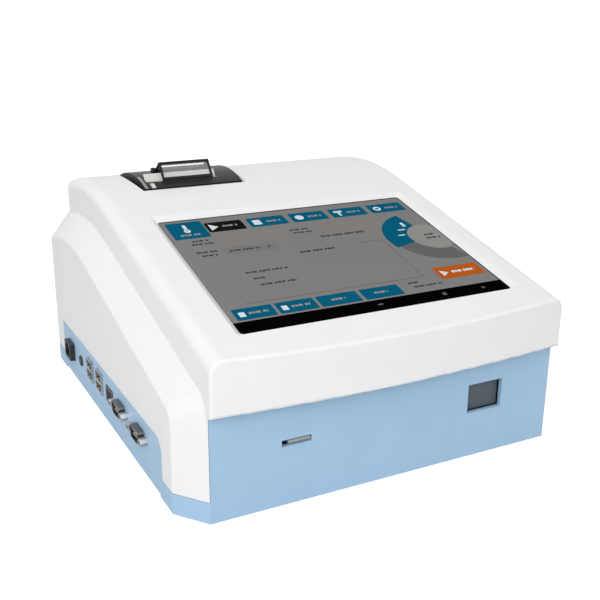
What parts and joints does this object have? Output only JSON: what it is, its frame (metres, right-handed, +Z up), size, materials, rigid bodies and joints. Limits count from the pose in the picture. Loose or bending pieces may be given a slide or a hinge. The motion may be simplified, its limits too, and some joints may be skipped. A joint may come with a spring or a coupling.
{
  "type": "rapid test reader",
  "caption": "Bench reader with a sloping touch screen, a cassette drawer, a lot chip slot, a slip printer under a folding hood, and sockets along one side.",
  "frame": {"origin": "middle of the whole footprint, lip and sockets included, at the table", "axes": "+X to the right seen from the front, +Y to the back, +Z up"},
  "size_m": [0.285, 0.3102, 0.1722],
  "materials": {
    "board_green": "solder resist",
    "bush_bronze": "sintered",
    "card_core": "paper board",
    "case_blue": "fine textured moulding, blue grey",
    "case_white": "fine textured moulding",
    "chip_grey": "moulded",
    "drawer_grey": "fine textured moulding, dark grey",
    "gasket_foam": "closed foam",
    "gear_white": "moulded acetal",
    "head_black": "matt",
    "lcd_metal": "module case",
    "lens_glass": "polished",
    "nickel_shell": "nickel plated",
    "pane_clear": "clear plastic",
    "paper_white": "thermal paper",
    "pin_gold": "gold plated",
    "printer_black": "satin moulding",
    "rubber_black": "matt",
    "screen_glass": null,
    "serial_blue": "moulded",
    "sink_metal": "anodised",
    "socket_black": "moulded",
    "socket_tongue": "moulded",
    "steel_zinc": "zinc plated"
  },
  "bodies": {
    "case": {"base_tray": "case_blue", "top_cover": "case_white", "rubber_feet": "rubber_black", "case_screws": "steel_zinc", "screen_gasket": "gasket_foam", "touch_glass": "screen_glass", "lcd_module": "lcd_metal", "lcd_bracket": "steel_zinc", "bracket_screws": "steel_zinc", "main_board": "board_green", "board_screws": "steel_zinc", "heat_sink": "sink_metal", "coin_cell": "nickel_shell", "lan_jack": "socket_black", "power_jack": "socket_black", "usb_stack_rear": "nickel_shell", "usb_stack_front": "nickel_shell", "usb_tongues": "socket_tongue", "service_port": "socket_tongue", "serial_shells": "nickel_shell", "serial_bodies": "serial_blue", "serial_pins": "pin_gold", "jack_screws": "nickel_shell", "chip_socket": "socket_black", "chip_board": "board_green", "reader_chassis": "steel_zinc", "chassis_screws": "steel_zinc", "guide_rods": "nickel_shell", "feed_motor": "steel_zinc", "position_sensor": "socket_black", "head_bridge": "steel_zinc", "optical_head": "head_black", "head_lens": "lens_glass", "printer_frame": "printer_black", "printer_screws": "steel_zinc", "paper_tail": "paper_white", "printer_motor": "steel_zinc", "print_head": "sink_metal", "tear_bar": "nickel_shell", "speaker": "head_black", "switch_housing": "socket_black"},
    "drawer": {"drawer_tray": "drawer_grey", "tray_bushes": "bush_bronze", "feed_rack": "gear_white"},
    "feed_drive": {"drive_pinion": "gear_white", "motor_shaft": "steel_zinc"},
    "chip": {"lot_chip": "chip_grey"},
    "door": {"printer_door": "printer_black"},
    "hood": {"paper_hood": "printer_black", "hood_panes": "pane_clear"},
    "roll": {"paper_roll": "paper_white", "roll_core": "card_core"},
    "platen": {"platen_roller": "rubber_black", "platen_shaft": "steel_zinc", "platen_gear": "gear_white"},
    "idler": {"idler_gear": "gear_white"},
    "printer_drive": {"printer_pinion": "pin_gold"},
    "rocker": {"switch_rocker": "socket_black"}
  },
  "joints": [
    {"name": "drawer_slide", "type": "slide", "parent": "case", "child": "drawer", "axis": [0, -1, 0], "range_m": [0, 0.074]},
    {"name": "feed_spin", "type": "hinge", "parent": "case", "child": "feed_drive", "pos_m": [0.0732, -0.1065, 0.02675], "axis": [1, 0, 0], "range_deg": [0, 608]},
    {"name": "chip_slide", "type": "slide", "parent": "case", "child": "chip", "axis": [0, -1, 0], "range_m": [0, 0.024]},
    {"name": "door_hinge", "type": "hinge", "parent": "case", "child": "door", "pos_m": [-0.0529, 0.1193, 0.15427], "axis": [-1, 0, 0], "range_deg": [0, 80]},
    {"name": "hood_fold", "type": "hinge", "parent": "door", "child": "hood", "pos_m": [-0.0495, 0.0885, 0.16442], "axis": [-1, 0, 0], "range_deg": [0, 100]},
    {"name": "roll_spin", "type": "hinge", "parent": "case", "child": "roll", "pos_m": [-0.0529, 0.1023, 0.1361], "axis": [1, 0, 0], "continuous": true},
    {"name": "platen_spin", "type": "hinge", "parent": "case", "child": "platen", "pos_m": [-0.0529, 0.0745, 0.146], "axis": [1, 0, 0], "continuous": true},
    {"name": "idler_spin", "type": "hinge", "parent": "case", "child": "idler", "pos_m": [-0.0195, 0.08483, 0.13175], "axis": [1, 0, 0], "continuous": true},
    {"name": "printer_drive_spin", "type": "hinge", "parent": "case", "child": "printer_drive", "pos_m": [-0.0195, 0.0725, 0.126], "axis": [1, 0, 0], "continuous": true},
    {"name": "rocker_tilt", "type": "hinge", "parent": "case", "child": "rocker", "pos_m": [0.0905, 0.1509, 0.046], "axis": [0, 0, 1], "range_deg": [0, 14]}
  ],
  "couplings": [
    {"joint": "feed_spin", "follows": "drawer_slide", "rad_per_m": 142.86},
    {"joint": "idler_spin", "follows": "platen_spin", "ratio": -0.83333},
    {"joint": "printer_drive_spin", "follows": "platen_spin", "ratio": 2}
  ]
}
